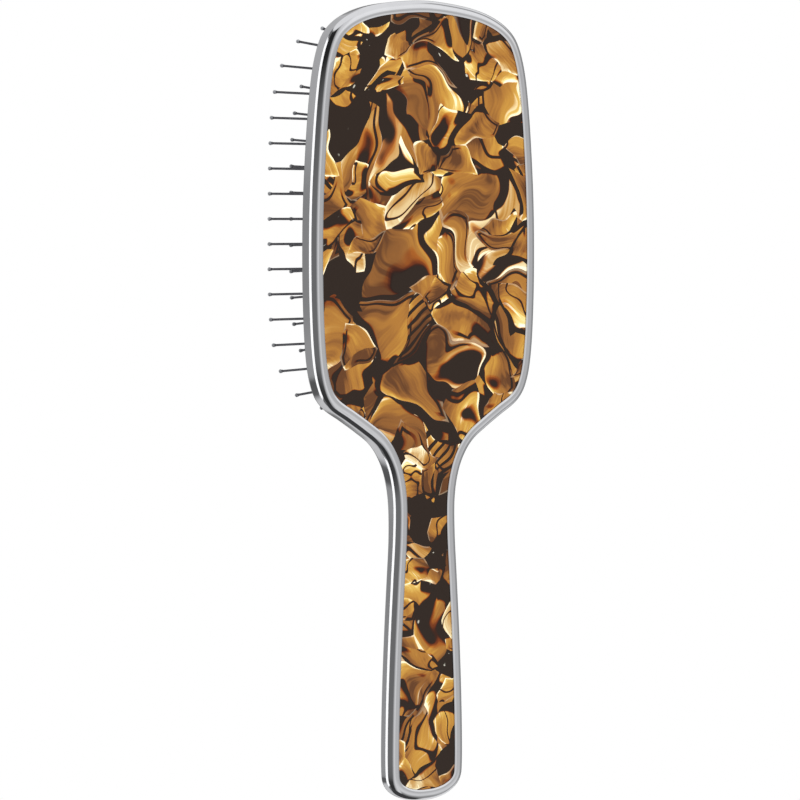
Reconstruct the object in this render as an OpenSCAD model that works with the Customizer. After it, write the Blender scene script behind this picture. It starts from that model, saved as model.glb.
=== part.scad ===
// Paddle hairbrush: a plated frame with a flat inlay on its back and an air-cushioned
// field of ball-tipped pins on its front. The brush lies on its back: X is the width,
// Y the length with the head at +Y, and Z points up through the pins. Millimetres.

/* [Frame] */
// Overall length of the brush
brush_len = 245; // [235:1:255]
// Overall width of the head
brush_w = 81.8; // [80:0.2:84]
// Thickness of the frame at the head
head_t = 7.4; // [7.2:0.1:8]
// Thickness of the frame along the handle
handle_t = 6; // [5:0.1:7]
// Width of the plated rim around the inlay
rim_w = 3.7; // [3:0.1:4]
// Radius of the rim's rounded shoulder on the back
shoulder_r = 2.5; // [1.5:0.1:2.8]

/* [Inlay] */
// Thickness of the inlay plate
inlay_t = 1.5; // [1:0.1:1.6]
// Thickness of the adhesive film under the plate
film_t = 0.15; // [0.1:0.05:0.2]

/* [Cushion] */
// Half of the cushion's width
pad_a = 36; // [35.5:0.1:36.2]
// Half of the cushion's length
pad_b = 58.5; // [57:0.5:59]
// How far the dome rises above its edge
dome_h = 6; // [4:0.5:7]
// Thickness of the rubber
rubber_t = 1.5; // [1:0.1:1.8]

/* [Pins] */
// Radius of a pin's wire
pin_r = 0.38; // [0.34:0.02:0.5]
// Radius of a ball tip
tip_r = 0.62; // [0.6:0.02:1]
// Length of a pin from the rubber to the top of its tip
pin_len = 24.7; // [18:0.1:25]

/* [Hidden] */
gap = 0.05;                       // clearance between pieces that touch
web_t = 1.15;                     // frame metal between the inlay and the cushion
web_z = inlay_t + film_t;         // back of that metal
tray_z = web_z + web_t + gap;     // back of the tray
tray_floor_t = 1.2;
flange_z = tray_z + 2.2;          // back of the cushion's flange
flange_t = 1;
flange_w = 1.3;                   // how far the flange reaches past the cushion's wall
bezel_z = flange_z + flange_t + gap;
cassette_w = 1.5;                 // how far tray and bezel reach past the cushion's wall
pad_z = head_t - 0.2;             // height of the dome's edge
pad_y = 56.4;                     // middle of the cushion along the brush
pad_power = 5;                    // squareness of the cushion's outline
pad_taper = 0.02;                 // how much narrower the outline is towards the head end
neck_y = -8;                      // where the front starts to slope down to the handle
handle_y = -48;                   // where the slope ends
vent_r = 0.8;
vent_y = -32;                     // vent hole, from the middle of the cushion
screw_r = 1;
screw_head_r = 1.9;
screw_head_t = 0.75;
screw_len = 3.6;
boss_r = 2.1;
boss_h = 2.2;
pin_head_r = 1.1;
pin_head_t = 0.5;
pin_head_drop = 0.45;             // rubber to pin head, room for the dome's slope
hole_gap = 0.05;
lean_x = 0.42;                    // lean of a pin at the cushion's side edge
lean_y = 0.36;                    // lean of a pin at the cushion's end edge

// Half of the inlay's outline, from the head end to the handle end: [along, half width]
half_outline = [
    [118.8, 0], [118.2, 9], [117, 17], [115.2, 23], [112.6, 27.8], [109, 31], [102, 33.3],
    [92, 34.8], [78, 36], [62, 36.9], [46, 37.2], [30, 37], [16, 36.2], [7.5, 34.7], [2.6, 32],
    [-1.4, 26], [-5, 20.6], [-9, 15.3], [-14, 11.5], [-20.5, 8.8], [-29, 7.4], [-40, 7.4],
    [-54, 8.2], [-70, 9.1], [-86, 9.8], [-101, 10.2], [-112, 10.2], [-115.6, 9.6],
    [-117.6, 7], [-118.6, 3.5], [-118.8, 0]
];
outline_steps = 3;
width_k = (brush_w / 2 - rim_w) / 37.2;
length_k = (brush_len / 2 - rim_w) / 118.8;

// Rings of pins on the cushion: [half width, half length, pins in a quarter]
rings = [[29.2, 53, 10], [22, 44, 8], [14.8, 35, 6], [7.6, 26, 4]];
centre_pitch = 7.8;
centre_count = 5;

// A smooth curve through the points, with steps points from each to the next
function spline_point(a, b, c, d, t) =
    0.5 * (2 * b + (c - a) * t + (2 * a - 5 * b + 4 * c - d) * t * t + (3 * b - a - 3 * c + d) * t * t * t);
function mirror_x(p) = [p[0], -p[1]];
function spline(p, steps) = let (last = len(p) - 1) [
    for (i = [0:last - 1], s = [0:steps - 1])
        let (
            before = i == 0 ? mirror_x(p[1]) : p[i - 1],
            after = i == last - 1 ? mirror_x(p[last - 1]) : p[i + 2]
        )
        spline_point(before, p[i], p[i + 1], after, s / steps),
    p[last]
];
side = spline(half_outline, outline_steps);
side_n = len(side);
function inlay_points() = concat(
    [for (p = side) [p[1] * width_k, p[0] * length_k]],
    [for (i = [side_n - 2:-1:1]) [-side[i][1] * width_k, side[i][0] * length_k]]
);

// The cushion's outline is a superellipse that narrows a little towards the head end
function taper(y) = 1 - pad_taper * y / pad_b;
function round_x(a, t) = a * pow(abs(cos(t)), 2 / pad_power) * sign(cos(t));
function round_y(b, t) = b * pow(abs(sin(t)), 2 / pad_power) * sign(sin(t));
function pad_points(k) = [
    for (t = [0:9:351]) let (y = round_y(pad_b * k, t)) [round_x(pad_a * k, t) * taper(y), y]
];
function pad_rho(x, y) =
    pow(pow(abs(x / pad_a), pad_power) + pow(abs(y / pad_b), pad_power), 1 / pad_power);
function dome_z(x, y) = pad_z + dome_h * (1 - pow(pad_rho(x, y), 2));

// Points of one ring at even steps along its outline: a quarter first, then its mirror images
function quarter_table(a, b, step) = [for (t = [0:step:90]) [round_x(a, t), round_y(b, t)]];
function path_sum(p, i) = i == 0 ? [0] : let (
        before = path_sum(p, i - 1)
    ) concat(before, [before[i - 1] + norm(p[i] - p[i - 1])]);
function quarter_points(a, b, n) = let (
        p = quarter_table(a, b, 1.5),
        s = path_sum(p, len(p) - 1),
        x_at = [for (i = [0:len(p) - 1]) [s[i], p[i][0]]],
        y_at = [for (i = [0:len(p) - 1]) [s[i], p[i][1]]],
        total = s[len(s) - 1]
    ) [for (i = [0:n]) [lookup(total * i / n, x_at), lookup(total * i / n, y_at)]];
function ring_points(r) = let (q = quarter_points(r[0], r[1], r[2]), n = r[2]) [
    for (i = [0:n]) [q[i][0], q[i][1]],
    for (i = [0:n - 1]) [-q[i][0], q[i][1]],
    for (i = [1:n]) [q[i][0], -q[i][1]],
    for (i = [1:n - 1]) [-q[i][0], -q[i][1]]
];
function centre_points() =
    [for (i = [0:centre_count - 1]) [0, (i - (centre_count - 1) / 2) * centre_pitch]];
function places(i) = i < len(rings) ? ring_points(rings[i]) : centre_points();

// Where a pin leaves the rubber, and the way it leans
function root(p) = let (x = p[0] * taper(p[1])) [x, pad_y + p[1], dome_z(x, p[1])];
function lean(p) = let (u = p[0] / pad_a, v = p[1] / pad_b)
    [lean_x * u * (1 - 0.1 * v * v), lean_y * v * (1 - 1.15 * u * u), 1];

module at_root(p) {
    d = lean(p);
    translate(root(p)) rotate([0, acos(1 / norm(d)), atan2(d[1], d[0])]) children();
}

module inlay_outline() {
    polygon(inlay_points());
}

module pad_outline() {
    translate([0, pad_y]) polygon(pad_points(1));
}

// One layer of the frame: set in from the side wall, between two heights
module layer(inset, low, high) {
    translate([0, 0, low]) linear_extrude(high - low) offset(delta = rim_w - inset) inlay_outline();
}

// Holes for the screws that hold the tray, as places on the cushion
module screw_places() {
    for (x = [-25.3, 25.3], y = [-36, 0.5, 37]) translate([x, pad_y + y, 0]) children();
    for (y = [-48.8, 48.8]) translate([0, pad_y + y, 0]) children();
}

module frame() {
    color([0.78, 0.79, 0.8]) difference() {
        union() {
            layer(shoulder_r * 0.66, 0, shoulder_r * 0.15);
            layer(shoulder_r * 0.3, shoulder_r * 0.15, shoulder_r * 0.4);
            layer(shoulder_r * 0.08, shoulder_r * 0.4, shoulder_r);
            layer(0, shoulder_r, head_t - 1);
            layer(0.4, head_t - 1, head_t);
        }
        translate([0, 0, -1]) linear_extrude(1 + web_z) offset(delta = gap) inlay_outline();
        translate([0, 0, web_z + web_t]) linear_extrude(head_t) offset(delta = cassette_w + gap) pad_outline();
        rotate([90, 0, 90]) translate([0, 0, -brush_w]) linear_extrude(2 * brush_w) polygon([
            [neck_y, head_t + 1], [neck_y, head_t], [handle_y, handle_t],
            [-brush_len, handle_t], [-brush_len, head_t + 1]
        ]);
        screw_places() translate([0, 0, 1]) cylinder(r = screw_r + 0.1, h = 3, $fn = 32);
        screw_places() translate([0, 0, web_z - 0.01]) cylinder(r = screw_head_r + 0.1, h = screw_head_t + 0.06, $fn = 32);
    }
}

module inlay_plate() {
    color([0.42, 0.25, 0.12]) linear_extrude(inlay_t) inlay_outline();
}

module inlay_adhesive() {
    color([0.85, 0.83, 0.75]) translate([0, 0, inlay_t]) linear_extrude(film_t) offset(delta = -0.5) inlay_outline();
}

module cushion_tray() {
    color([0.16, 0.16, 0.17]) difference() {
        union() {
            translate([0, 0, tray_z]) difference() {
                linear_extrude(flange_z - gap - tray_z) offset(delta = cassette_w - gap) pad_outline();
                translate([0, 0, tray_floor_t]) linear_extrude(9) offset(delta = -1.2) pad_outline();
            }
            screw_places() translate([0, 0, tray_z]) cylinder(r = boss_r, h = boss_h, $fn = 32);
        }
        screw_places() translate([0, 0, tray_z - 1]) cylinder(r = screw_r, h = 1 + boss_h - 0.6, $fn = 32);
    }
}

module tray_screws() {
    color([0.7, 0.7, 0.72]) screw_places() translate([0, 0, web_z]) {
        cylinder(r = screw_head_r, h = screw_head_t, $fn = 32);
        cylinder(r = screw_r, h = screw_len - 0.9, $fn = 32);
    }
}

// Solid pillow: the edge wall, then level outlines of the dome joined by triangles
module pillow(low, inset, drop) {
    k = 1 - inset / pad_a;
    levels = [for (rho = [1, 0.86, 0.7, 0.54, 0.36, 0.18]) [rho, pad_z + dome_h * (1 - pow(k * rho, 2)) - drop]];
    outlines = concat([[1, low]], levels);
    n = len(pad_points(1));
    top = len(outlines) - 1;
    points = [for (o = outlines, p = pad_points(k * o[0])) [p[0], p[1], o[1]]];
    faces = concat(
        [[for (j = [0:n - 1]) j]],
        [for (i = [0:top - 1], j = [0:n - 1]) [i * n + j, (i + 1) * n + j, (i + 1) * n + (j + 1) % n]],
        [for (i = [0:top - 1], j = [0:n - 1]) [i * n + j, (i + 1) * n + (j + 1) % n, i * n + (j + 1) % n]],
        [[for (j = [n - 1:-1:0]) top * n + j]]
    );
    translate([0, pad_y, 0]) polyhedron(points, faces);
}

module cushion() {
    color([0.05, 0.05, 0.055]) difference() {
        union() {
            pillow(flange_z, 0, 0);
            translate([0, 0, flange_z]) linear_extrude(flange_t) offset(delta = flange_w) pad_outline();
        }
        pillow(flange_z - 1, rubber_t, rubber_t);
        for (i = [0:len(rings)], p = places(i))
            at_root(p) translate([0, 0, -4]) cylinder(r = (pin_r + hole_gap) / cos(22.5), h = 7, $fn = 8);
        translate([0, pad_y + vent_y, pad_z]) cylinder(r = vent_r, h = 9, $fn = 24);
    }
}

module cushion_bezel() {
    color([0.78, 0.79, 0.8]) translate([0, 0, bezel_z]) difference() {
        linear_extrude(head_t - bezel_z) offset(delta = cassette_w) pad_outline();
        translate([0, 0, -1]) linear_extrude(9) offset(delta = 0.15) pad_outline();
    }
}

module pins(i) {
    color([0.3, 0.31, 0.33]) for (p = places(i)) at_root(p) {
        head_z = -rubber_t - pin_head_drop - pin_head_t;
        translate([0, 0, head_z]) cylinder(r = pin_head_r, h = pin_head_t, $fn = 24);
        translate([0, 0, head_z]) cylinder(r = pin_r, h = pin_len - tip_r - head_z, $fn = 24);
    }
}

module tips(i) {
    color([0.62, 0.63, 0.66]) for (p = places(i)) at_root(p) difference() {
        translate([0, 0, pin_len - tip_r]) sphere(r = tip_r, $fn = 24);
        translate([0, 0, pin_len - 3 * tip_r]) cylinder(r = pin_r + 0.01, h = 2 * tip_r + 0.01, $fn = 24);
    }
}

frame();
inlay_plate();
inlay_adhesive();
cushion_tray();
tray_screws();
cushion();
cushion_bezel();
pins(0);  // pins_ring_1
pins(1);  // pins_ring_2
pins(2);  // pins_ring_3
pins(3);  // pins_ring_4
pins(4);  // pins_centre_row
tips(0);  // tips_ring_1
tips(1);  // tips_ring_2
tips(2);  // tips_ring_3
tips(3);  // tips_ring_4
tips(4);  // tips_centre_row
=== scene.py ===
"""Paddle hairbrush: plated frame, tortoiseshell inlay, air cushion and ball-tipped pins."""

import math

import bmesh
import bpy
from mathutils import Matrix, Vector
from mathutils.kdtree import KDTree


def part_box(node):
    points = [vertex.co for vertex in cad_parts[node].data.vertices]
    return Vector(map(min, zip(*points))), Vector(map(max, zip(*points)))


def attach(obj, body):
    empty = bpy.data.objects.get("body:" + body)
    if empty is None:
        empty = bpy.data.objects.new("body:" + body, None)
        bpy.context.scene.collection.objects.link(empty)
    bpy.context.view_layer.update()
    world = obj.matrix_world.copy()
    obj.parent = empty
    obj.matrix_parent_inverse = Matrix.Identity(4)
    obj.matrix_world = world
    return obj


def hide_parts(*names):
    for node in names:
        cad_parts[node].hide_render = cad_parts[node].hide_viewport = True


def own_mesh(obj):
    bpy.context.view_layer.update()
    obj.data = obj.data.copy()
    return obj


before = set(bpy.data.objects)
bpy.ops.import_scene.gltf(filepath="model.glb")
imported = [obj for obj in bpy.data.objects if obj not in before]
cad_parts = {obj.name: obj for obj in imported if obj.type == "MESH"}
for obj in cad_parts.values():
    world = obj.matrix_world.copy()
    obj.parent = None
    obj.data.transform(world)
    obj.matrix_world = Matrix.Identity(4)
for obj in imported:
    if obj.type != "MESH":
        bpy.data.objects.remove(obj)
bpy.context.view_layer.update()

MM = 0.001

# Places and sizes that the frame gives, in metres
FRAME_LOW, FRAME_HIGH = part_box("frame")
PLATE_LOW, PLATE_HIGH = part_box("inlay_plate")
BEZEL_LOW, BEZEL_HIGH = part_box("cushion_bezel")
CUSHION_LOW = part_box("cushion")[0]
RIM_W = PLATE_LOW.y - FRAME_LOW.y
HEAD_T = FRAME_HIGH.z
PLATE_T = PLATE_HIGH.z
PLATE_HALF_W = PLATE_HIGH.x
PLATE_HALF_L = PLATE_HIGH.y

# The frame's own shape
HANDLE_T = 6 * MM
NECK_Y = -8 * MM
HANDLE_Y = -48 * MM
SHOULDER_R = 2.5 * MM
FRONT_EDGE_R = 1.7 * MM
RECESS_DEPTH = 1.65 * MM
POCKET_FLOOR = 2.8 * MM
CASSETTE_W = 1.5 * MM
BEZEL_GAP = 0.15 * MM
BEZEL_R = 0.45 * MM
BEZEL_STEPS = 5
BODY_FIT = 0.05 * MM
LIP_R = 0.2 * MM
CHAMFER_W = 0.55 * MM
CHAMFER_D = 0.2 * MM
INLAY_SUNK = 0.4 * MM
INLAY_GAP = 0.07 * MM
INLAY_EDGE_R = 0.15 * MM
WALL_DRAFT = 0.11 * MM

# The cushion and its field of pins
PAD_HALF_W = 36 * MM
PAD_HALF_L = 58.5 * MM
PAD_Y = (BEZEL_LOW.y + BEZEL_HIGH.y) / 2
PAD_POWER = 5
PAD_TAPER = 0.02
PAD_STEPS = 120
DOME_EDGE_Z = 7.2 * MM
DOME_H = 6 * MM
RUBBER_T = 1.5 * MM
FLANGE_W = 1.3 * MM
FLANGE_T = 1 * MM
VENT_Y = -32 * MM
VENT_R = 0.8 * MM
COLLAR_H = 0.3 * MM
COLLAR_R = 1 * MM
RINGS = {
    "ring_1": (29.2 * MM, 53 * MM, 10),
    "ring_2": (22 * MM, 44 * MM, 8),
    "ring_3": (14.8 * MM, 35 * MM, 6),
    "ring_4": (7.6 * MM, 26 * MM, 4),
}
CENTRE_PITCH = 7.8 * MM
CENTRE_COUNT = 5
WIRE_R = 0.38 * MM
TIP_R = 0.62 * MM
PIN_LEN = 24.7 * MM
PIN_HEAD_R = 1.1 * MM
PIN_HEAD_T = 0.5 * MM
PIN_HEAD_DROP = 0.45 * MM
WIRE_SIDES = 10
TIP_SIDES = 12
LEAN_X = 0.42
LEAN_Y = 0.36

# Half of the inlay's outline from the head end to the handle end: (along, half width)
HALF_OUTLINE = [
    (118.8, 0), (118.2, 9), (117, 17), (115.2, 23), (112.6, 27.8), (109, 31), (102, 33.3),
    (92, 34.8), (78, 36), (62, 36.9), (46, 37.2), (30, 37), (16, 36.2), (7.5, 34.7), (2.6, 32),
    (-1.4, 26), (-5, 20.6), (-9, 15.3), (-14, 11.5), (-20.5, 8.8), (-29, 7.4), (-40, 7.4),
    (-54, 8.2), (-70, 9.1), (-86, 9.8), (-101, 10.2), (-112, 10.2), (-115.6, 9.6),
    (-117.6, 7), (-118.6, 3.5), (-118.8, 0),
]
OUTLINE_STEPS = 6


# ---------------------------------------------------------------- camera

def aim(obj, place, target, up):
    """Puts obj at place, looking at target, with up towards the top of its view."""
    forward = (target - place).normalized()
    right = forward.cross(up).normalized()
    top = right.cross(forward)
    turn = Matrix((right, top, -forward)).transposed()
    obj.matrix_world = Matrix.Translation(place) @ turn.to_4x4()


def make_camera():
    """Behind the brush and to its right, level with the head, with a long lens."""
    data = bpy.data.cameras.new("camera")
    data.lens = 130.7
    data.sensor_width = 36
    data.clip_start = 0.01
    data.clip_end = 20
    camera = bpy.data.objects.new("camera", data)
    bpy.context.scene.collection.objects.link(camera)
    place = Vector((488.8, 57.2, -737.2)) * MM
    target = Vector((10.12, 1.61, 0)) * MM
    aim(camera, place, target, Vector((0, 1, 0)))
    bpy.context.scene.camera = camera


make_camera()


# ---------------------------------------------------------------- shader helpers

def add(tree, kind, inputs=None, **settings):
    """A new node. inputs maps socket names or numbers to values or to other nodes' outputs."""
    node = tree.nodes.new(kind)
    for name, value in settings.items():
        setattr(node, name, value)
    for key, value in (inputs or {}).items():
        socket = node.inputs[key]
        if isinstance(value, bpy.types.NodeSocket):
            tree.links.new(value, socket)
        else:
            socket.default_value = value
    return node


def maths(tree, operation, a, b=0.0, c=0.0, clamp=False):
    node = add(tree, "ShaderNodeMath", {0: a, 1: b, 2: c}, operation=operation, use_clamp=clamp)
    return node.outputs[0]


def times(tree, a, b):
    return maths(tree, "MULTIPLY", a, b)


def highest(tree, first, *others):
    for other in others:
        first = maths(tree, "MAXIMUM", first, other)
    return first


def vector_maths(tree, operation, a, b=(0, 0, 0)):
    node = add(tree, "ShaderNodeVectorMath", {0: a, 1: b}, operation=operation)
    return node.outputs["Value" if operation in ("DOT_PRODUCT", "LENGTH") else "Vector"]


def scaled(tree, vector, factor):
    """The vector times a number."""
    node = add(tree, "ShaderNodeVectorMath", {0: vector}, operation="SCALE")
    if isinstance(factor, bpy.types.NodeSocket):
        tree.links.new(factor, node.inputs["Scale"])
    else:
        node.inputs["Scale"].default_value = factor
    return node.outputs["Vector"]


def ramped(tree, value, low, high, to_low=0.0, to_high=1.0, smooth=True):
    """to_low where the value is below low, to_high above high, and a slope between them."""
    node = add(
        tree, "ShaderNodeMapRange",
        {"Value": value, "From Min": low, "From Max": high, "To Min": to_low, "To Max": to_high},
        interpolation_type="SMOOTHSTEP" if smooth else "LINEAR",
    )
    return node.outputs["Result"]


def noise(tree, vector, scale, detail=2.0, roughness=0.5):
    """Soft noise: one value as Fac, and three values as Color."""
    sizes = {"Vector": vector, "Scale": scale, "Detail": detail, "Roughness": roughness}
    return add(tree, "ShaderNodeTexNoise", sizes).outputs


def mixed(tree, share, a, b, blend="MIX"):
    """Colour a, with b mixed in by share."""
    node = add(tree, "ShaderNodeMix", data_type="RGBA", blend_type=blend)
    for index, value in ((0, share), (6, a), (7, b)):
        if isinstance(value, bpy.types.NodeSocket):
            tree.links.new(value, node.inputs[index])
        elif index == 0:
            node.inputs[index].default_value = value
        else:
            node.inputs[index].default_value = (*value, 1)
    return node.outputs[2]


def colour_ramp(tree, value, stops, interpolation="EASE"):
    """A colour for each value, from (value, colour) stops."""
    node = add(tree, "ShaderNodeValToRGB", {"Fac": value})
    ramp = node.color_ramp
    ramp.interpolation = interpolation
    while len(ramp.elements) < len(stops):
        ramp.elements.new(0.5)
    for element, (place, colour) in zip(ramp.elements, stops):
        element.position = place
        element.color = (*colour, 1)
    return node.outputs["Color"]


def new_group(name, inputs, outputs):
    """An empty node group with (name, kind, default) inputs and (name, kind) outputs."""
    tree = bpy.data.node_groups.new(name, "ShaderNodeTree")
    for label, kind, default in inputs:
        socket = tree.interface.new_socket(label, in_out="INPUT", socket_type=kind)
        if default is not None:
            socket.default_value = default
    for label, kind in outputs:
        tree.interface.new_socket(label, in_out="OUTPUT", socket_type=kind)
    return tree, tree.nodes.new("NodeGroupInput"), tree.nodes.new("NodeGroupOutput")


def place_group(tree, group, inputs):
    node = tree.nodes.new("ShaderNodeGroup")
    node.node_tree = group
    for key, value in inputs.items():
        if isinstance(value, bpy.types.NodeSocket):
            tree.links.new(value, node.inputs[key])
        else:
            node.inputs[key].default_value = value
    return node


def new_material(name, **values):
    """A material with one Principled shader, and values for that shader's own sockets."""
    material = bpy.data.materials.new(name)
    material.use_nodes = True
    tree = material.node_tree
    shader = tree.nodes["Principled BSDF"]
    for key, value in values.items():
        shader.inputs[key.replace("_", " ")].default_value = value
    return material, tree, shader


def object_mm(tree):
    """The place on the piece, in millimetres."""
    return scaled(tree, add(tree, "ShaderNodeTexCoord").outputs["Object"], 1000)


# ---------------------------------------------------------------- shared effects

# The acetate's amber colours, from painted shade to painted light, for each flake's own tone and its painted
# satin light
AMBER_STOPS = [
    (0.0, (0.10, 0.036, 0.010)), (0.13, (0.22, 0.085, 0.018)), (0.30, (0.34, 0.145, 0.024)),
    (0.52, (0.47, 0.235, 0.036)), (0.70, (0.60, 0.37, 0.075)), (0.84, (0.78, 0.60, 0.22)),
    (1.0, (0.95, 0.90, 0.68)),
]
# What amber is multiplied by as it runs into the dark
HALO_STOPS = [
    (0.0, (1, 1, 1)), (0.3, (0.85, 0.55, 0.30)), (0.6, (0.45, 0.20, 0.08)),
    (0.85, (0.12, 0.05, 0.03)), (1.0, (0.04, 0.02, 0.02)),
]
PITCH = (0.018, 0.010, 0.006)
# The pearly colour of the painted gleams in the dark
PAINTED_PEARL_GLEAM = (0.52, 0.50, 0.42)
# The cream of the painted glints
PAINTED_GLINT_CREAM = (1.0, 0.90, 0.62)
MILKY = (0.66, 0.55, 0.36)
# Shares of a flake's size: how far in its dark outline lies, and the widest crease along its edge
OUTLINE_INSET = 0.1
CREASE_W = 0.05
# Levels of one noise: the dark pools start at the first, and the ribbons follow the second
POOL_LEVEL = 0.63
RIBBON_LEVEL = 0.45
# Flakes whose chance is below this get an outline, and the others get ribbons
OUTLINED_CHANCE = 0.42
STRIPES_PER_FLAKE = 34.0
MILKY_CHANCE = 0.78


def make_grain_group():
    """Fine grain: a height to bump, and a value that wanders slowly over the surface."""
    tree, given, out = new_group(
        "fine_grain",
        [
            ("Vector", "NodeSocketVector", None), ("Grain", "NodeSocketFloat", 3.0),
            ("Patch", "NodeSocketFloat", 0.1),
        ],
        [("Height", "NodeSocketFloat"), ("Wander", "NodeSocketFloat")],
    )
    grain = noise(tree, given.outputs["Vector"], given.outputs["Grain"], 4, 0.6)
    patch = noise(tree, given.outputs["Vector"], given.outputs["Patch"], 3, 0.5)
    tree.links.new(grain["Fac"], out.inputs["Height"])
    tree.links.new(patch["Fac"], out.inputs["Wander"])
    return tree


def stretched_noise(tree, vector, stretch, scale, detail, roughness=0.5):
    return noise(tree, vector_maths(tree, "MULTIPLY", vector, stretch), scale, detail, roughness)["Fac"]


def shifted_noise(tree, vector, shift, scale, detail, roughness=0.5):
    return noise(tree, vector_maths(tree, "ADD", vector, shift), scale, detail, roughness)["Fac"]


def turned(tree, vector, angle):
    inputs = {"Vector": vector, "Angle": angle}
    return add(tree, "ShaderNodeVectorRotate", inputs, rotation_type="Z_AXIS").outputs["Vector"]


def lay_flakes(tree, need):
    """Where each flake of a layer lies: its edge, its own axes, and the chances that are drawn for it."""
    shape = add(tree, "ShaderNodeCombineXYZ", {"X": 1.0, "Y": need["Stretch"], "Z": 0.0}).outputs["Vector"]
    long = vector_maths(tree, "MULTIPLY", turned(tree, need["Vector"], need["Turn"]), shape)
    sized = scaled(tree, long, maths(tree, "DIVIDE", 1.0, need["Size"]))
    place = vector_maths(tree, "ADD", sized, need["Seed"])
    at = {"Vector": place, "Scale": 1.0}
    cell = add(tree, "ShaderNodeTexVoronoi", at, voronoi_dimensions="2D", feature="F1").outputs
    edge = add(tree, "ShaderNodeTexVoronoi", at, voronoi_dimensions="2D", feature="DISTANCE_TO_EDGE").outputs
    other = add(
        tree, "ShaderNodeTexWhiteNoise", {"Vector": cell["Position"]}, noise_dimensions="3D",
    ).outputs
    chance = add(tree, "ShaderNodeSeparateColor", {"Color": cell["Color"]}).outputs
    more = add(tree, "ShaderNodeSeparateColor", {"Color": other["Color"]}).outputs
    local = vector_maths(tree, "SUBTRACT", place, cell["Position"])
    own = turned(tree, local, times(tree, more[0], 2 * math.pi))
    axes = add(tree, "ShaderNodeSeparateXYZ", {"Vector": own}).outputs
    own = vector_maths(tree, "ADD", own, scaled(tree, other["Color"], 23))
    return {
        "place": place, "border": edge["Distance"], "own": own, "across": axes["X"], "along": axes["Y"],
        "folds": stretched_noise(tree, own, (1.0, 0.6, 1), 1.7, 1.0, 0.4),
        "present": chance[0], "whole": chance[1], "striped": chance[2],
        "tone": more[1], "banded": more[2], "milky": other["Value"],
    }


def painted_satin_light(tree, flake):
    """Painted satin light: a painted slope of light across the flake, soft folds and fine streaks of painted
    light, and a painted sheen along one edge, added to the flake's own random tone.
    """
    # Fine streaks of painted satin light, and a painted sheen near the flake's edge
    grain = stretched_noise(tree, flake["own"], (7.0, 0.9, 1), 1.6, 2.0, 0.6)
    sheen = ramped(tree, flake["border"], 0.0, 0.14, 0.3, 0.0)
    parts = (
        maths(tree, "MULTIPLY_ADD", flake["tone"], 0.36, -0.18),
        maths(tree, "MULTIPLY_ADD", flake["folds"], 1.15, -0.575),
        maths(tree, "MULTIPLY_ADD", grain, 0.5, -0.25),
        times(tree, sheen, ramped(tree, flake["across"], 0.0, 0.35)),
    )
    shade = maths(tree, "MULTIPLY_ADD", flake["across"], 0.42, 0.30)
    for part in parts:
        shade = maths(tree, "ADD", shade, part)
    return maths(tree, "MAXIMUM", shade, 0.0, clamp=True)


def amber_colour(tree, flake, shade):
    """Amber from painted shade to painted light, with a milky tint on a few flakes that is strongest where
    the painted light is brightest.
    """
    milky = maths(tree, "GREATER_THAN", flake["milky"], MILKY_CHANCE)
    bloom = times(tree, times(tree, milky, ramped(tree, shade, 0.35, 0.75)), 0.6)
    return mixed(tree, bloom, colour_ramp(tree, shade, AMBER_STOPS), MILKY)


def dark_share(tree, flake, need):
    """Whole dark flakes, a band along one side of a flake, pools, stripes, ribbons and outlines."""
    whole = maths(tree, "LESS_THAN", flake["whole"], need["Dark"])
    one_side = ramped(tree, flake["along"], -0.05, 0.22)
    banded = times(tree, one_side, maths(tree, "GREATER_THAN", flake["banded"], 0.3))
    band_w = times(tree, banded, ramped(tree, flake["folds"], 0.3, 0.7, 0.07, 0.2))
    band = ramped(tree, maths(tree, "SUBTRACT", band_w, flake["border"]), -0.02, 0.02)

    pool_at = shifted_noise(tree, flake["own"], (5.3, 1.7, 0), 1.2, 0.6, 0.4)
    pools = ramped(tree, pool_at, POOL_LEVEL, POOL_LEVEL + 0.07)
    from_ribbon = maths(tree, "ABSOLUTE", maths(tree, "SUBTRACT", pool_at, RIBBON_LEVEL))
    ribboned = maths(tree, "GREATER_THAN", flake["tone"], OUTLINED_CHANCE)
    ribbons = times(tree, ramped(tree, from_ribbon, 0.014, 0.03, 1.0, 0.0), ribboned)

    bend = times(tree, flake["folds"], 5.0)
    wave = maths(tree, "SINE", maths(tree, "MULTIPLY_ADD", flake["across"], STRIPES_PER_FLAKE, bend))
    striped = maths(tree, "GREATER_THAN", flake["striped"], maths(tree, "SUBTRACT", 1.0, need["Stripes"]))
    stripes = times(tree, ramped(tree, wave, 0.1, 0.45), striped)

    from_line = maths(tree, "ABSOLUTE", maths(tree, "SUBTRACT", flake["border"], OUTLINE_INSET))
    outlined = maths(tree, "LESS_THAN", flake["tone"], OUTLINED_CHANCE)
    outlined = times(tree, outlined, ramped(tree, flake["across"], 0.1, -0.1))
    outline = times(tree, ramped(tree, from_line, 0.02, 0.04, 1.0, 0.0), outlined)

    soft = highest(tree, band, pools, stripes, ribbons, outline)
    return maths(tree, "MAXIMUM", whole, soft, clamp=True)


def crease_share(tree, flake):
    """Creases along parts of a flake's edge."""
    crease_at = shifted_noise(tree, flake["place"], (3.1, 8.2, 0), 1.6, 0.0)
    crease_w = ramped(tree, crease_at, 0.44, 0.66, 0.0, CREASE_W)
    return ramped(tree, maths(tree, "SUBTRACT", crease_w, flake["border"]), -0.008, 0.008)


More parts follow.
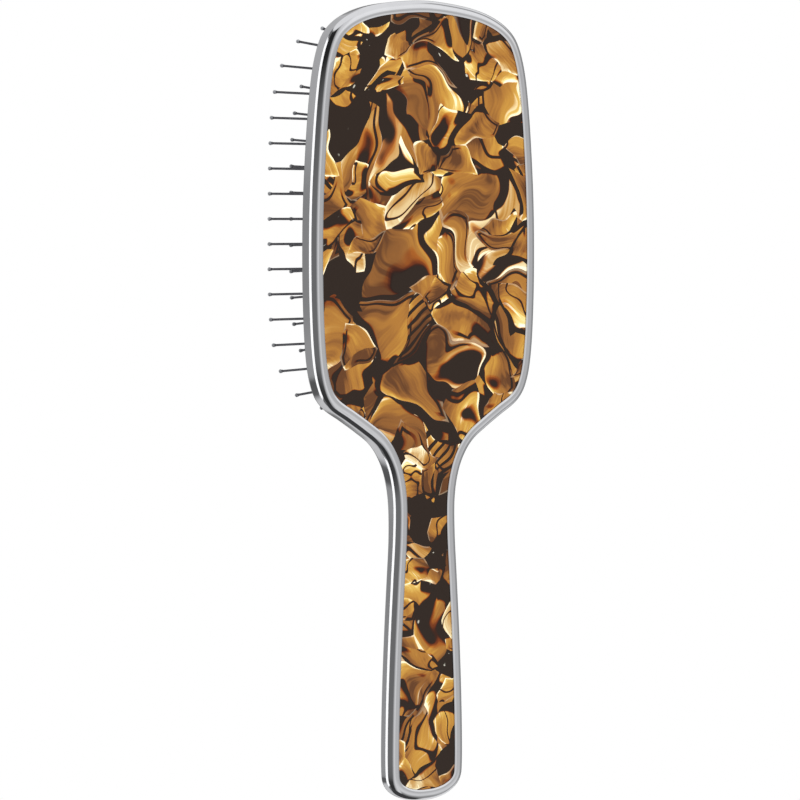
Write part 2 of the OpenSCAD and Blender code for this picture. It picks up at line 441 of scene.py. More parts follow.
def painted_glint_share(tree, flake, shade, dark, crease):
    """Painted highlights: glints along the creases, and hair-thin painted glints in bundles across the most
    brightly painted folds; none in the dark.
    """
    painted_glint_noise = stretched_noise(tree, flake["own"], (13.0, 0.8, 1), 1.5, 1.0, 0.5)
    painted_hair_glints = times(tree, ramped(tree, painted_glint_noise, 0.6, 0.68, 0.0, 0.8), ramped(tree, shade, 0.5, 0.75))
    painted_crease_glints = times(tree, crease, ramped(tree, shade, 0.25, 0.6, 0.15, 0.9))
    painted_glints = highest(tree, painted_crease_glints, painted_hair_glints)
    return times(tree, painted_glints, ramped(tree, dark, 0.2, 0.8, 0.9, 0.0))


def make_flake_group():
    """One layer of acetate flakes: their colour, with painted satin light, painted glints and painted gleams
    in it, which of them are there, and the height of their folds.
    """
    tree, given, out = new_group(
        "acetate_flakes",
        [
            ("Vector", "NodeSocketVector", None), ("Size", "NodeSocketFloat", 15.0),
            ("Stretch", "NodeSocketFloat", 1.4), ("Turn", "NodeSocketFloat", 0.0),
            ("Seed", "NodeSocketVector", None), ("Present", "NodeSocketFloat", 1.0),
            ("Dark", "NodeSocketFloat", 0.4), ("Stripes", "NodeSocketFloat", 0.06),
        ],
        [("Color", "NodeSocketColor"), ("Mask", "NodeSocketFloat"), ("Height", "NodeSocketFloat")],
    )
    need = given.outputs
    flake = lay_flakes(tree, need)
    shade = painted_satin_light(tree, flake)
    dark = dark_share(tree, flake, need)
    crease = crease_share(tree, flake)

    # Amber runs through a reddish halo into the dark, which has a few pearly gleams of painted highlight
    painted_gleam_at = shifted_noise(tree, flake["own"], (9.1, 4.4, 0), 6.0, 0.0, 0.4)
    pitch_with_painted_gleams = mixed(tree, ramped(tree, painted_gleam_at, 0.82, 0.9), PITCH, PAINTED_PEARL_GLEAM)
    halo = colour_ramp(tree, dark, HALO_STOPS)
    lit = mixed(tree, 1.0, amber_colour(tree, flake, shade), halo, "MULTIPLY")
    body = mixed(tree, ramped(tree, dark, 0.7, 1.0), lit, pitch_with_painted_gleams)
    # Painted highlights: cream glints along creases and folds go over everything
    colour = mixed(tree, painted_glint_share(tree, flake, shade, dark, crease), body, PAINTED_GLINT_CREAM)

    height = maths(tree, "MULTIPLY_ADD", shade, 0.6, times(tree, crease, 0.3))
    tree.links.new(colour, out.inputs["Color"])
    tree.links.new(maths(tree, "LESS_THAN", flake["present"], need["Present"]), out.inputs["Mask"])
    tree.links.new(height, out.inputs["Height"])
    return tree


GRAIN = make_grain_group()
FLAKES = make_flake_group()


# ---------------------------------------------------------------- finishes

def bump(tree, shader, height, strength, distance):
    node = add(tree, "ShaderNodeBump", {"Height": height, "Strength": strength, "Distance": distance})
    tree.links.new(node.outputs["Normal"], shader.inputs["Normal"])


# The layers of flakes from the lowest up: size in mm, stretch, turn, seed, and the shares of the
# flakes that are there, wholly dark, and striped
FLAKE_LAYERS = [
    (19.0, 1.0, 0.2, (8.3, 3.1, 0), 1.0, 0.24, 0.0),
    (20.0, 1.5, 1.1, (31.4, 5.2, 0), 0.5, 0.15, 0.1),
    (16.5, 1.6, 2.4, (12.7, 44.1, 0), 0.4, 0.14, 0.14),
    (11.0, 1.4, 0.6, (61.2, 9.4, 0), 0.26, 0.16, 0.0),
]
LAYER_INPUTS = ("Size", "Stretch", "Turn", "Seed", "Present", "Dark", "Stripes")


def tortoiseshell():
    """Polished acetate: layers of bent amber flakes over near-black, with painted satin light and painted
    glints in their colour, under a clear gloss.
    """
    material, tree, shader = new_material(
        "tortoiseshell_acetate", Roughness=0.4, IOR=1.3, Specular_IOR_Level=0.15,
        Coat_Weight=1.0, Coat_Roughness=0.02, Coat_IOR=1.31,
    )
    flat = vector_maths(tree, "MULTIPLY", object_mm(tree), (1, 1, 0))
    place = flat
    for scale, reach in ((0.04, 22.0), (0.11, 7.0)):
        bend = vector_maths(tree, "SUBTRACT", noise(tree, flat, scale, 0.0)["Color"], (0.5, 0.5, 0.5))
        place = vector_maths(tree, "ADD", place, scaled(tree, bend, reach))
    layers = []
    for values in FLAKE_LAYERS:
        inputs = dict(zip(LAYER_INPUTS, values))
        layers.append(place_group(tree, FLAKES, {"Vector": place, **inputs}).outputs)
    colour, height = layers[0]["Color"], layers[0]["Height"]
    for layer in layers[1:]:
        colour = mixed(tree, layer["Mask"], colour, layer["Color"])
        height = add(tree, "ShaderNodeMix", {0: layer["Mask"], 2: height, 3: layer["Height"]}).outputs[0]
    tree.links.new(colour, shader.inputs["Base Color"])
    bump(tree, shader, height, 0.35, 0.5 * MM)
    return material


def polished_chrome():
    """Mirror plating with a faint haze that wanders, and hair-fine polishing marks."""
    material, tree, shader = new_material(
        "polished_chrome", Metallic=1.0, Roughness=0.07, Base_Color=(0.80, 0.805, 0.82, 1),
    )
    place = vector_maths(tree, "MULTIPLY", object_mm(tree), (1, 0.08, 1))
    grain = place_group(tree, GRAIN, {"Vector": place, "Grain": 9.0, "Patch": 0.09}).outputs
    tree.links.new(ramped(tree, grain["Wander"], 0.35, 0.7, 0.045, 0.10), shader.inputs["Roughness"])
    cloudy = ramped(tree, grain["Wander"], 0.4, 0.65)
    tint = mixed(tree, cloudy, (0.80, 0.805, 0.82), (0.77, 0.775, 0.79))
    tree.links.new(tint, shader.inputs["Base Color"])
    bump(tree, shader, grain["Height"], 0.03, 0.1 * MM)
    return material


def cushion_rubber():
    """Soft black rubber with a fine moulded grain and a little dusting."""
    material, tree, shader = new_material(
        "cushion_rubber", Roughness=0.55, Sheen_Weight=0.15, Sheen_Roughness=0.4, IOR=1.52,
    )
    inputs = {"Vector": object_mm(tree), "Grain": 2.6, "Patch": 0.07}
    grain = place_group(tree, GRAIN, inputs).outputs
    tone = ramped(tree, grain["Wander"], 0.35, 0.7)
    black = mixed(tree, tone, (0.012, 0.012, 0.013), (0.026, 0.025, 0.026))
    tree.links.new(black, shader.inputs["Base Color"])
    tree.links.new(ramped(tree, grain["Wander"], 0.3, 0.7, 0.46, 0.62), shader.inputs["Roughness"])
    bump(tree, shader, grain["Height"], 0.25, 0.08 * MM)
    return material


def drawn_metal(name, light, dark, rough):
    """Metal with faint streaks along Z."""
    material, tree, shader = new_material(name, Metallic=1.0, Roughness=rough)
    place = vector_maths(tree, "MULTIPLY", object_mm(tree), (6.0, 6.0, 0.35))
    grain = place_group(tree, GRAIN, {"Vector": place, "Grain": 1.0, "Patch": 0.3}).outputs
    share = ramped(tree, grain["Height"], 0.35, 0.65)
    tree.links.new(mixed(tree, share, dark, light), shader.inputs["Base Color"])
    worn = ramped(tree, grain["Wander"], 0.3, 0.7, rough * 0.8, rough * 1.3)
    tree.links.new(worn, shader.inputs["Roughness"])
    return material


def moulded_plastic(name, light, dark, rough, grain_scale=2.0, coat=0.0):
    """Moulded plastic: two close tones and a fine surface grain."""
    material, tree, shader = new_material(name, Roughness=rough, Coat_Weight=coat, Coat_Roughness=0.05)
    inputs = {"Vector": object_mm(tree), "Grain": grain_scale, "Patch": 0.15}
    grain = place_group(tree, GRAIN, inputs).outputs
    share = ramped(tree, grain["Wander"], 0.35, 0.65)
    tree.links.new(mixed(tree, share, dark, light), shader.inputs["Base Color"])
    bump(tree, shader, grain["Height"], 0.1, 0.05 * MM)
    return material


CHROME = polished_chrome()
ACETATE = tortoiseshell()
RUBBER = cushion_rubber()
WIRE = drawn_metal("dark_steel_wire", (0.10, 0.10, 0.11), (0.045, 0.045, 0.05), 0.3)
ZINC = drawn_metal("zinc_plated_steel", (0.62, 0.63, 0.64), (0.52, 0.52, 0.50), 0.3)
TIP = moulded_plastic("grey_ball_tips", (0.36, 0.37, 0.39), (0.30, 0.31, 0.33), 0.22, 3.0, 0.6)
TRAY = moulded_plastic("tray_plastic", (0.035, 0.035, 0.037), (0.024, 0.024, 0.026), 0.5)
FILM = moulded_plastic("adhesive_film", (0.72, 0.70, 0.62), (0.64, 0.62, 0.54), 0.3)


# ---------------------------------------------------------------- outlines

def spline_point(a, b, c, d, t):
    """The curve's value between b and c, with a before and d after."""
    square = (2 * a - 5 * b + 4 * c - d) * t * t
    cube = (3 * b - a - 3 * c + d) * t ** 3
    return 0.5 * (2 * b + (c - a) * t + square + cube)


def spline(points, steps):
    """A smooth curve through the points of one half, mirrored at both ends."""
    last = len(points) - 1
    curve = []
    for i in range(last):
        before = points[i - 1] if i else (points[1][0], -points[1][1])
        after = points[i + 2] if i < last - 1 else (points[last - 1][0], -points[last - 1][1])
        for step in range(steps):
            t = step / steps
            curve.append(tuple(
                spline_point(a, b, c, d, t) for a, b, c, d in zip(before, points[i], points[i + 1], after)
            ))
    return curve + [points[last]]


def inlay_outline():
    """The inlay's outline in metres, anticlockwise seen from +Z."""
    half = spline(HALF_OUTLINE, OUTLINE_STEPS)
    wide = PLATE_HALF_W / (max(w for y, w in HALF_OUTLINE) * MM)
    long = PLATE_HALF_L / (HALF_OUTLINE[0][0] * MM)
    right = [Vector((w * wide, y * long, 0)) * MM for y, w in half]
    left = [Vector((-p.x, p.y, 0)) for p in right[1:-1]]
    return list(reversed(right)) + left


def widened(points, distance):
    """The outline moved outwards by a distance."""
    moved = []
    for i, point in enumerate(points):
        along = points[(i + 1) % len(points)] - points[i - 1]
        moved.append(point + Vector((along.y, -along.x, 0)).normalized() * distance)
    return moved


def rounded(radius, turn, wave):
    """Radius times the superellipse's own cosine or sine."""
    value = wave(turn)
    return radius * math.copysign(abs(value) ** (2 / PAD_POWER), value)


def taper(y):
    """How much narrower or wider the cushion is at y from its middle."""
    return 1 - PAD_TAPER * y / PAD_HALF_L


def pad_outline(share=1.0, proud=0.0):
    """The cushion's outline: share scales it about its middle, and proud widens it."""
    points = []
    for i in range(PAD_STEPS):
        turn = 2 * math.pi * i / PAD_STEPS
        x = rounded(PAD_HALF_W * share, turn, math.cos)
        y = rounded(PAD_HALF_L * share, turn, math.sin)
        points.append(Vector((x * taper(y), y + PAD_Y, 0)))
    return widened(points, proud) if proud else points


def pad_rho(x, y):
    """0 in the middle of the cushion and 1 on its outline."""
    return (abs(x / PAD_HALF_W) ** PAD_POWER + abs(y / PAD_HALF_L) ** PAD_POWER) ** (1 / PAD_POWER)


def dome_z(x, y):
    """The height of the rubber's outer face."""
    return DOME_EDGE_Z + DOME_H * (1 - min(pad_rho(x, y), 1.0) ** 2)


# ---------------------------------------------------------------- mesh helpers

def slab(bm, points, low, high):
    """A straight-walled solid between two heights; gives back its bottom and top faces."""
    bottom = bm.faces.new([bm.verts.new((p.x, p.y, low)) for p in points])
    bottom.normal_flip()
    made = bmesh.ops.extrude_face_region(bm, geom=[bottom], use_keep_orig=True)
    top = next(item for item in made["geom"] if isinstance(item, bmesh.types.BMFace))
    bmesh.ops.translate(bm, verts=top.verts[:], vec=(0, 0, high - low))
    bmesh.ops.recalc_face_normals(bm, faces=bm.faces[:])
    return bottom, top


def round_edges(bm, edges, radius, steps):
    bmesh.ops.bevel(
        bm, geom=list(edges), offset=radius, segments=steps, profile=0.5, affect="EDGES", material=-1,
    )


def finish_piece(name, bm, material, smooth_angle=35):
    """Makes the object, with soft shading up to an angle between faces."""
    mesh = bpy.data.meshes.new(name)
    bm.to_mesh(mesh)
    bm.free()
    mesh.materials.append(material)
    mesh.shade_smooth()
    mesh.set_sharp_from_angle(angle=math.radians(smooth_angle))
    piece = bpy.data.objects.new(name, mesh)
    bpy.context.scene.collection.objects.link(piece)
    return piece


def weight_normals(piece):
    """Keeps flat faces flat where they run into a rounded edge."""
    weighted = piece.modifiers.new("flat_faces", "WEIGHTED_NORMAL")
    weighted.mode = "FACE_AREA"
    weighted.weight = 90
    weighted.keep_sharp = True


def cut(piece, cutter):
    """Takes the cutter's shape out of the piece, and removes the cutter."""
    boolean = piece.modifiers.new("cut", "BOOLEAN")
    boolean.operation = "DIFFERENCE"
    boolean.solver = "EXACT"
    boolean.object = cutter
    bpy.context.view_layer.update()
    depsgraph = bpy.context.evaluated_depsgraph_get()
    done = bpy.data.meshes.new_from_object(piece.evaluated_get(depsgraph))
    piece.modifiers.clear()
    old = piece.data
    piece.data = done
    bpy.data.meshes.remove(old)
    bpy.data.objects.remove(cutter)


# ---------------------------------------------------------------- frame and inlay

def front_height(y):
    """The front's height at y: level on the head and on the handle, with an easy slope at the neck."""
    share = min(max((NECK_Y - y) / (NECK_Y - HANDLE_Y), 0), 1)
    eased = share * share * (3 - 2 * share)
    return HEAD_T + (HANDLE_T - HEAD_T) * eased


def make_frame_body():
    """The plated body: rounded outside, with the inlay's recess in its back and the cushion's pocket."""
    bm = bmesh.new()
    bottom = slab(bm, widened(inlay_outline(), RIM_W), 0, HEAD_T)[0]
    round_edges(bm, bottom.edges, SHOULDER_R, 10)
    top = max(bm.faces, key=lambda f: (f.calc_center_median().z, f.calc_area()))
    round_edges(bm, top.edges, FRONT_EDGE_R, 6)

    # From the rim inwards: its flat, a shallow chamfer, the wall beside the inlay, and the recess
    bottom = min(bm.faces, key=lambda f: (round(f.calc_center_median().z, 6), -f.calc_area()))
    flat_w = RIM_W - SHOULDER_R - BODY_FIT - CHAMFER_W
    wall_h = INLAY_SUNK + BODY_FIT - CHAMFER_D
    floor_h = RECESS_DEPTH - INLAY_SUNK - BODY_FIT
    bmesh.ops.inset_region(bm, faces=[bottom], thickness=flat_w, use_even_offset=True)
    lip = list(bottom.edges)
    bmesh.ops.inset_region(bm, faces=[bottom], thickness=CHAMFER_W, depth=-CHAMFER_D, use_even_offset=True)
    bmesh.ops.inset_region(bm, faces=[bottom], thickness=WALL_DRAFT, depth=-wall_h, use_even_offset=True)
    bmesh.ops.inset_region(bm, faces=[bottom], thickness=0.001 * MM, depth=-floor_h)
    round_edges(bm, lip, LIP_R, 3)

    for vert in bm.verts:
        if vert.co.z > HEAD_T - FRONT_EDGE_R - 0.01 * MM:
            vert.co.z += front_height(vert.co.y) - HEAD_T
    piece = finish_piece("frame_body", bm, CHROME, 40)
    pocket = bmesh.new()
    slab(pocket, pad_outline(1, CASSETTE_W + BODY_FIT), POCKET_FLOOR, HEAD_T + 5 * MM)
    cut(piece, finish_piece("pocket_cutter", pocket, CHROME))
    piece.data.set_sharp_from_angle(angle=math.radians(40))
    weight_normals(piece)
    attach(piece, "brush_body")
    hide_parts("frame")


def make_inlay_panel():
    """The acetate plate, a little below the rim, with a softened edge."""
    bm = bmesh.new()
    bottom = slab(bm, widened(inlay_outline(), -INLAY_GAP), INLAY_SUNK, PLATE_T)[0]
    round_edges(bm, bottom.edges, INLAY_EDGE_R, 3)
    piece = finish_piece("inlay_panel", bm, ACETATE, 50)
    weight_normals(piece)
    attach(piece, "brush_body")
    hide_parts("inlay_plate")


# ---------------------------------------------------------------- cushion

def ring_solid(bm, rows):
    """A closed ring through (outline, height) rows of as many points each, in order round its section."""
    points, z = rows[0]
    verts = [bm.verts.new((p.x, p.y, z)) for p in points]
    loop = [bm.edges.new((verts[i - 1], verts[i])) for i in range(len(verts))]
    for points, z in rows[1:] + rows[:1]:
        order = {tuple(vert.co): i for i, vert in enumerate(verts)}
        grown = bmesh.ops.extrude_edge_only(bm, edges=loop)["geom"]
        verts = [item for item in grown if isinstance(item, bmesh.types.BMVert)]
        verts.sort(key=lambda vert: order[tuple(vert.co)])
        fresh = set(verts)
        edges = [item for item in grown if isinstance(item, bmesh.types.BMEdge)]
        loop = [edge for edge in edges if fresh.issuperset(edge.verts)]
        for vert, point in zip(verts, points):
            vert.co = (point.x, point.y, z)
    bmesh.ops.remove_doubles(bm, verts=bm.verts[:], dist=0.001 * MM)
    bmesh.ops.recalc_face_normals(bm, faces=bm.faces[:])


def make_bezel():
    """The plated ring round the cushion, with both of its front edges rounded."""
    bm = bmesh.new()
    low, high = BEZEL_LOW.z, BEZEL_HIGH.z
    turns = [math.pi / 2 * step / BEZEL_STEPS for step in range(BEZEL_STEPS + 1)]
    rows = [(pad_outline(1, CASSETTE_W), low)]
    for turn in turns:
        proud = CASSETTE_W - BEZEL_R * (1 - math.cos(turn))
        rows.append((pad_outline(1, proud), high - BEZEL_R * (1 - math.sin(turn))))
    for turn in turns:
        proud = BEZEL_GAP + BEZEL_R * (1 - math.sin(turn))
        rows.append((pad_outline(1, proud), high - BEZEL_R * (1 - math.cos(turn))))
    rows.append((pad_outline(1, BEZEL_GAP), low))
    ring_solid(bm, rows)
    piece = finish_piece("cushion_bezel_ring", bm, CHROME, 40)
    weight_normals(piece)
    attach(piece, "brush_body")
    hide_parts("cushion_bezel")


def make_flange():
    """The part of the rubber that the bezel holds, and that never moves."""
    bm = bmesh.new()
    low = CUSHION_LOW.z
    inside, outside = pad_outline(1, -0.02 * MM), pad_outline(1, FLANGE_W)
    top = low + FLANGE_T
    ring_solid(bm, [(outside, low), (outside, top), (inside, top), (inside, low)])
    inside, outside = pad_outline(1 - RUBBER_T / PAD_HALF_W), pad_outline()
    top = DOME_EDGE_Z
    ring_solid(bm, [(outside, low), (outside, top), (inside, top), (inside, low)])
    piece = finish_piece("cushion_flange", bm, RUBBER)
    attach(piece, "brush_body")
    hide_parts("cushion")


def quarter(half_w, half_l, count):
    """Points at even steps along a quarter of a superellipse, from its side to its end."""
    fine = 240
    path = []
    for i in range(fine + 1):
        turn = math.pi / 2 * i / fine
        path.append(Vector((rounded(half_w, turn, math.cos), rounded(half_l, turn, math.sin))))
    sums = [0.0]
    for a, b in zip(path, path[1:]):
        sums.append(sums[-1] + (b - a).length)
    points = []
    for i in range(count + 1):
        wanted = sums[-1] * i / count
        j = min(max(k for k in range(fine + 1) if sums[k] <= wanted + 1e-12), fine - 1)
        share = (wanted - sums[j]) / (sums[j + 1] - sums[j])
        points.append(path[j].lerp(path[j + 1], share))
    return points


def ring_places(name):
    """Where a group's pins stand on the cushion, from its middle."""
    if name == "centre_row":
        return [Vector((0, (i - (CENTRE_COUNT - 1) / 2) * CENTRE_PITCH)) for i in range(CENTRE_COUNT)]
    half_w, half_l, count = RINGS[name]
    points = quarter(half_w, half_l, count)
    upper = points + [Vector((-p.x, p.y)) for p in points[:-1]]
    right = [Vector((p.x, -p.y)) for p in points[1:]]
    left = [Vector((-p.x, -p.y)) for p in points[1:-1]]
    return upper + right + left


def pin_axis(place):
    """Where a pin leaves the rubber, and its direction."""
    x = place.x * taper(place.y)
    root = Vector((x, PAD_Y + place.y, dome_z(x, place.y)))
    u, v = place.x / PAD_HALF_W, place.y / PAD_HALF_L
    lean = Vector((LEAN_X * u * (1 - 0.1 * v * v), LEAN_Y * v * (1 - 1.15 * u * u), 1))
    return root, lean.normalized()


GROUPS = list(RINGS) + ["centre_row"]
PINS = {name: [pin_axis(place) for place in ring_places(name)] for name in GROUPS}


def make_dome():
    """The rubber dome: a crowned skin with a small raised collar where every pin comes out."""
    bm = bmesh.new()
    made = bmesh.ops.create_grid(bm, x_segments=126, y_segments=200, size=1)
    for vert in made["verts"]:
        vert.co = Vector((vert.co.x * PAD_HALF_W, vert.co.y * PAD_HALF_L, 0))
    # Square grid to superellipse: every square ring keeps its own share of the outline
    for vert in bm.verts:
        x, y = vert.co.x / PAD_HALF_W, vert.co.y / PAD_HALF_L
        share = max(abs(x), abs(y))
        if share < 1e-9:
            continue
        turn = math.atan2(y, x)
        power_sum = abs(math.cos(turn)) ** PAD_POWER + abs(math.sin(turn)) ** PAD_POWER
        reach = share * power_sum ** (-1 / PAD_POWER)
        vert.co.x = PAD_HALF_W * reach * math.cos(turn)
        vert.co.y = PAD_HALF_L * reach * math.sin(turn)
    roots = [root for group in PINS.values() for root, _ in group]
    tree = KDTree(len(roots))
    for i, root in enumerate(roots):
        tree.insert((root.x, root.y, 0), i)
    tree.balance()
    for vert in bm.verts:
        x, y = vert.co.x * taper(vert.co.y), vert.co.y
        near = tree.find((x, y + PAD_Y, 0))[2]
        collar = COLLAR_H * math.exp(-(near / COLLAR_R) ** 2)
        vert.co = Vector((x, y + PAD_Y, dome_z(x, y) + collar))
    skin = bm.faces[:]
    bmesh.ops.recalc_face_normals(bm, faces=skin)
    if skin[0].normal.z < 0:
        bmesh.ops.reverse_faces(bm, faces=skin)
    bmesh.ops.solidify(bm, geom=skin, thickness=RUBBER_T)
    for vert in bm.verts:
        vert.co.z = max(vert.co.z, DOME_EDGE_Z)
    piece = finish_piece("cushion_dome", bm, RUBBER, 50)
    hole = bmesh.new()
    bmesh.ops.create_cone(
        hole, cap_ends=True, segments=24, radius1=VENT_R, radius2=VENT_R, depth=20 * MM,
        matrix=Matrix.Translation((0, PAD_Y + VENT_Y, DOME_EDGE_Z + 5 * MM)),
    )
    cut(piece, finish_piece("vent_cutter", hole, RUBBER))
    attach(piece, "brush_body")
    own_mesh(piece)
    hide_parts("cushion")


# ---------------------------------------------------------------- pins and tips

def spun(bm, profile, steps, place):
    """Spins a profile of (radius, height) points round a pin's axis into a closed solid."""
    verts = [bm.verts.new((max(r, 1e-7), 0, z)) for r, z in profile]
    edges = [bm.edges.new(pair) for pair in zip(verts, verts[1:])]
    bmesh.ops.spin(
        bm, geom=verts + edges, axis=(0, 0, 1), cent=(0, 0, 0), angle=2 * math.pi, steps=steps,
        use_merge=True,
    )
    touched = [vert for vert in bm.verts if not vert.tag]
    bmesh.ops.remove_doubles(bm, verts=touched, dist=2e-7)
    fresh = [vert for vert in bm.verts if not vert.tag]
    bmesh.ops.transform(bm, matrix=place, verts=fresh)
    for vert in fresh:
        vert.tag = True


def standing(root, lean):
    """The matrix that stands +Z along a pin at its root."""
    return Matrix.Translation(root) @ lean.to_track_quat("Z", "Y").to_matrix().to_4x4()


def wire_profile():
    """The wire, with its flat head inside the rubber: (radius, height) from the head up."""
    low = -RUBBER_T - PIN_HEAD_DROP - PIN_HEAD_T
    top = low + PIN_HEAD_T
    end = PIN_LEN - TIP_R
    return [
        (0, low), (PIN_HEAD_R * 0.9, low), (PIN_HEAD_R, low + 0.12 * MM), (PIN_HEAD_R * 0.9, top),
        (WIRE_R, top), (WIRE_R, end * 0.5), (WIRE_R * 0.96, end - 0.5 * MM), (WIRE_R * 0.8, end), (0, end),
    ]


def tip_profile():
    """A ball on a short neck that grips the wire."""
    centre = PIN_LEN - TIP_R
    low = centre - TIP_R * 1.18
    points = [(WIRE_R * 0.9, low), (WIRE_R + 0.1 * MM, low + 0.04 * MM)]
    for i in range(7):
        turn = math.radians(-52 + i * 142 / 6)
        points.append((TIP_R * math.cos(turn), centre + TIP_R * math.sin(turn)))
    return [(0, low)] + points


def make_pins(name):
    """A group's wires and ball tips, which ride on the group's own body."""
    wires, tips = bmesh.new(), bmesh.new()
    for root, lean in PINS[name]:
        place = standing(root, lean)
        spun(wires, wire_profile(), WIRE_SIDES, place)
        spun(tips, tip_profile(), TIP_SIDES, place)
    for bm in (wires, tips):
        bmesh.ops.recalc_face_normals(bm, faces=bm.faces[:])
    made = (
        (wires, "pin_wires_" + name, WIRE, "pins_" + name, "dark_steel_wire"),
        (tips, "ball_tips_" + name, TIP, "tips_" + name, "grey_ball_tips"),
    )
    for bm, piece_name, material, node, finish in made:
        piece = finish_piece(piece_name, bm, material, 60)
        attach(piece, name)
        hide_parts(node)


# ---------------------------------------------------------------- pieces from the frame

def dress_frame_nodes():
    """The hidden pieces keep their own shape and get their finish."""
    for node, material in (("cushion_tray", TRAY), ("tray_screws", ZINC), ("inlay_adhesive", FILM)):
        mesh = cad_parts[node].data
        mesh.materials.clear()
        mesh.materials.append(material)


# ---------------------------------------------------------------- studio

# Greys of the room by turn round the brush in degrees: 0 is +X, and 90 is up through the pins
ROOM_GREYS = [
    (-180, 0.33), (-155, 0.42), (-126, 0.50), (-119, 0.52), (-104, 0.74), (-90, 0.74), (-76, 0.46),
    (-64, 0.20), (-50, 0.15), (5, 0.15), (52, 0.14), (110, 0.30), (124, 0.17), (144, 0.18),
    (168, 0.28), (180, 0.33),
]
# Greys along three strips of the room, from the handle's end to the head's
SHADOW_GREYS = [
    (-1, 0.03), (-0.7, 0.035), (-0.45, 0.05), (-0.3, 0.11), (-0.2, 0.17), (0.06, 0.18), (0.15, 0.12),
    (0.28, 0.05), (0.38, 0.02), (1, 0.02),
]
WALL_GREYS = [
    (-1, 0.50), (-0.6, 0.66), (-0.5, 0.63), (-0.43, 0.12), (-0.30, 0.10), (-0.25, 0.33), (-0.12, 0.34),
    (-0.06, 0.27), (0.05, 0.28), (0.12, 0.45), (0.4, 0.47), (1, 0.55),
]
END_GREYS = [
    (-1, 0.05), (-0.9, 0.1), (-0.75, 0.3), (-0.6, 0.6), (-0.45, 0.75), (-0.25, 0.66), (-0.17, 0.54),
    (0.05, 0.5), (0.12, 0.62), (0.22, 0.9), (0.6, 0.95), (0.8, 0.85), (1, 0.85),
]
# Where the strips and the cards stand: from and to in degrees of turn, and how soft their ends are
SHADOW_STRIP = (-64, 4.5, 4)
WALL_STRIP = (51.5, 112, 1.5)
ABOVE_STRIP = (-155, -104, 5)
FAR_SIDE = (112, 181, 6)
TOP_EDGE = (116, 131, 4)
SOFT_BOX = (6, 48, 1.5)
SOFT_BOX_ENDS = (-0.71, 0.62, 0.04)
SOFT_BOX_LIGHT = 1.35
# The floor's radius, and where it fades out
FLOOR_R = 0.6
FLOOR_FADE = 0.16
FLOOR_END = 0.5


def make_floor():
    """A pale floor that shows from above only, and fades into the backdrop."""
    bm = bmesh.new()
    bmesh.ops.create_circle(bm, cap_ends=True, segments=96, radius=FLOOR_R)
    mesh = bpy.data.meshes.new("floor")
    bm.to_mesh(mesh)
    bm.free()
    floor = bpy.data.objects.new("floor", mesh)
    bpy.context.scene.collection.objects.link(floor)
    for vert in mesh.vertices:
        vert.co.z = -0.05 * MM
    material = bpy.data.materials.new("pale_floor")
    material.use_nodes = True
    tree = material.node_tree
    shader = tree.nodes["Principled BSDF"]
    shader.inputs["Base Color"].default_value = (0.86, 0.86, 0.86, 1)
    shader.inputs["Roughness"].default_value = 0.7
    clear = tree.nodes.new("ShaderNodeBsdfTransparent")
    mix = tree.nodes.new("ShaderNodeMixShader")
    place = add(tree, "ShaderNodeTexCoord").outputs["Object"]
    far = ramped(tree, vector_maths(tree, "LENGTH", place), FLOOR_FADE, FLOOR_END)
    behind = add(tree, "ShaderNodeNewGeometry").outputs["Backfacing"]
    tree.links.new(maths(tree, "MAXIMUM", far, behind), mix.inputs[0])
    tree.links.new(shader.outputs[0], mix.inputs[1])
    tree.links.new(clear.outputs[0], mix.inputs[2])
    tree.links.new(mix.outputs[0], tree.nodes["Material Output"].inputs["Surface"])
    mesh.materials.append(material)
    floor.visible_diffuse = False
    floor.visible_glossy = False
    floor.visible_transmission = False
    floor.visible_shadow = False


def window(tree, value, low, high, soft):
    """1 between low and high, and 0 outside, with soft ends."""
    rise = ramped(tree, value, low - soft, low + soft)
    fall = ramped(tree, value, high - soft, high + soft, 1.0, 0.0)
    return times(tree, rise, fall)


def grey_ramp(tree, value, low, high, stops):
    """Greys at places between low and high."""
    share = ramped(tree, value, low, high, smooth=False)
    greys = [((place - low) / (high - low), (grey, grey, grey * 1.01)) for place, grey in stops]
    return colour_ramp(tree, share, greys, "LINEAR")


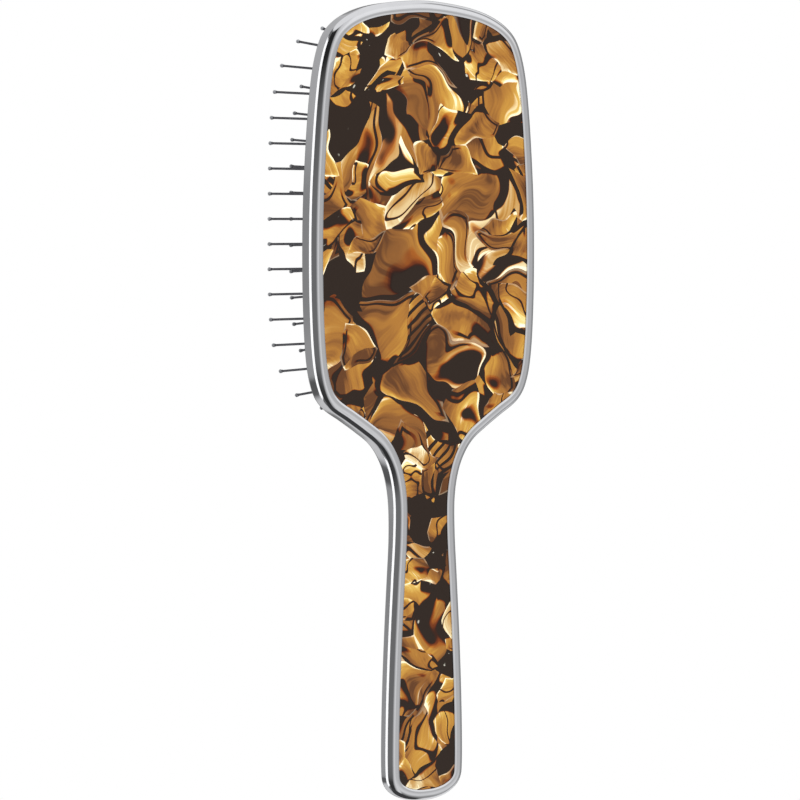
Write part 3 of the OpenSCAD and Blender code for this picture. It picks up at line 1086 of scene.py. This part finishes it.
def make_world():
    """White behind the object; for reflections and light, cards and soft boxes round the brush."""
    world = bpy.data.worlds.new("studio")
    bpy.context.scene.world = world
    world.use_nodes = True
    tree = world.node_tree
    background = tree.nodes["Background"]
    direction = add(tree, "ShaderNodeTexCoord").outputs["Generated"]
    parts = add(tree, "ShaderNodeSeparateXYZ", {"Vector": direction}).outputs
    turn = times(tree, maths(tree, "ARCTAN2", parts["Z"], parts["X"]), 180 / math.pi)
    end = parts["Y"]
    ends = maths(tree, "ABSOLUTE", end)
    room = grey_ramp(tree, turn, -180, 180, ROOM_GREYS)
    for strip, greys in ((SHADOW_STRIP, SHADOW_GREYS), (WALL_STRIP, WALL_GREYS)):
        room = mixed(tree, window(tree, turn, *strip), room, grey_ramp(tree, end, -1, 1, greys))
    far_side = times(tree, window(tree, turn, *FAR_SIDE), ramped(tree, ends, 0.3, 0.6))
    room = mixed(tree, far_side, room, (0.85, 0.85, 0.86))
    top_edge = times(tree, window(tree, turn, *TOP_EDGE), ramped(tree, ends, 0.12, 0.3, 1.0, 0.0))
    room = mixed(tree, top_edge, room, (0.21, 0.21, 0.215))
    above = grey_ramp(tree, end, -1, 1, END_GREYS)
    room = mixed(tree, window(tree, turn, *ABOVE_STRIP), room, above)
    box = times(tree, window(tree, turn, *SOFT_BOX), window(tree, end, *SOFT_BOX_ENDS))
    room = mixed(tree, box, room, (SOFT_BOX_LIGHT,) * 3)
    room = mixed(tree, ramped(tree, end, 0.8, 0.86), room, (0.85, 0.85, 0.86))
    room = mixed(tree, ramped(tree, end, -0.9, -0.84, 1.0, 0.0), room, (0.05, 0.05, 0.052))
    seen = add(tree, "ShaderNodeLightPath").outputs["Is Camera Ray"]
    tree.links.new(mixed(tree, seen, room, (1, 1, 1)), background.inputs["Color"])
    background.inputs["Strength"].default_value = 1.0


def soft_light(name, place, size, power):
    """A square soft box that points at the middle of the brush, and that no reflection shows."""
    data = bpy.data.lights.new(name, "AREA")
    data.shape = "SQUARE"
    data.size = size
    data.energy = power
    light = bpy.data.objects.new(name, data)
    bpy.context.scene.collection.objects.link(light)
    aim(light, Vector(place), Vector((0, 0, 0)), Vector((0, 1, 0.01)))
    light.visible_glossy = False
    light.visible_camera = False


def make_studio():
    make_floor()
    make_world()
    soft_light("key_on_back", (0.25, 0.45, -0.9), 0.7, 9)
    soft_light("fill_on_back", (-0.5, -0.3, -0.8), 0.8, 4)
    soft_light("key_on_front", (0.35, -0.35, 0.95), 0.7, 9)
    soft_light("fill_on_front", (-0.6, 0.4, 0.7), 0.8, 5)
    scene = bpy.context.scene
    scene.view_settings.view_transform = "Standard"
    scene.view_settings.look = "None"


# ---------------------------------------------------------------- build

make_frame_body()
make_inlay_panel()
make_bezel()
make_flange()
make_dome()
for group_name in GROUPS:
    make_pins(group_name)
dress_frame_nodes()
make_studio()
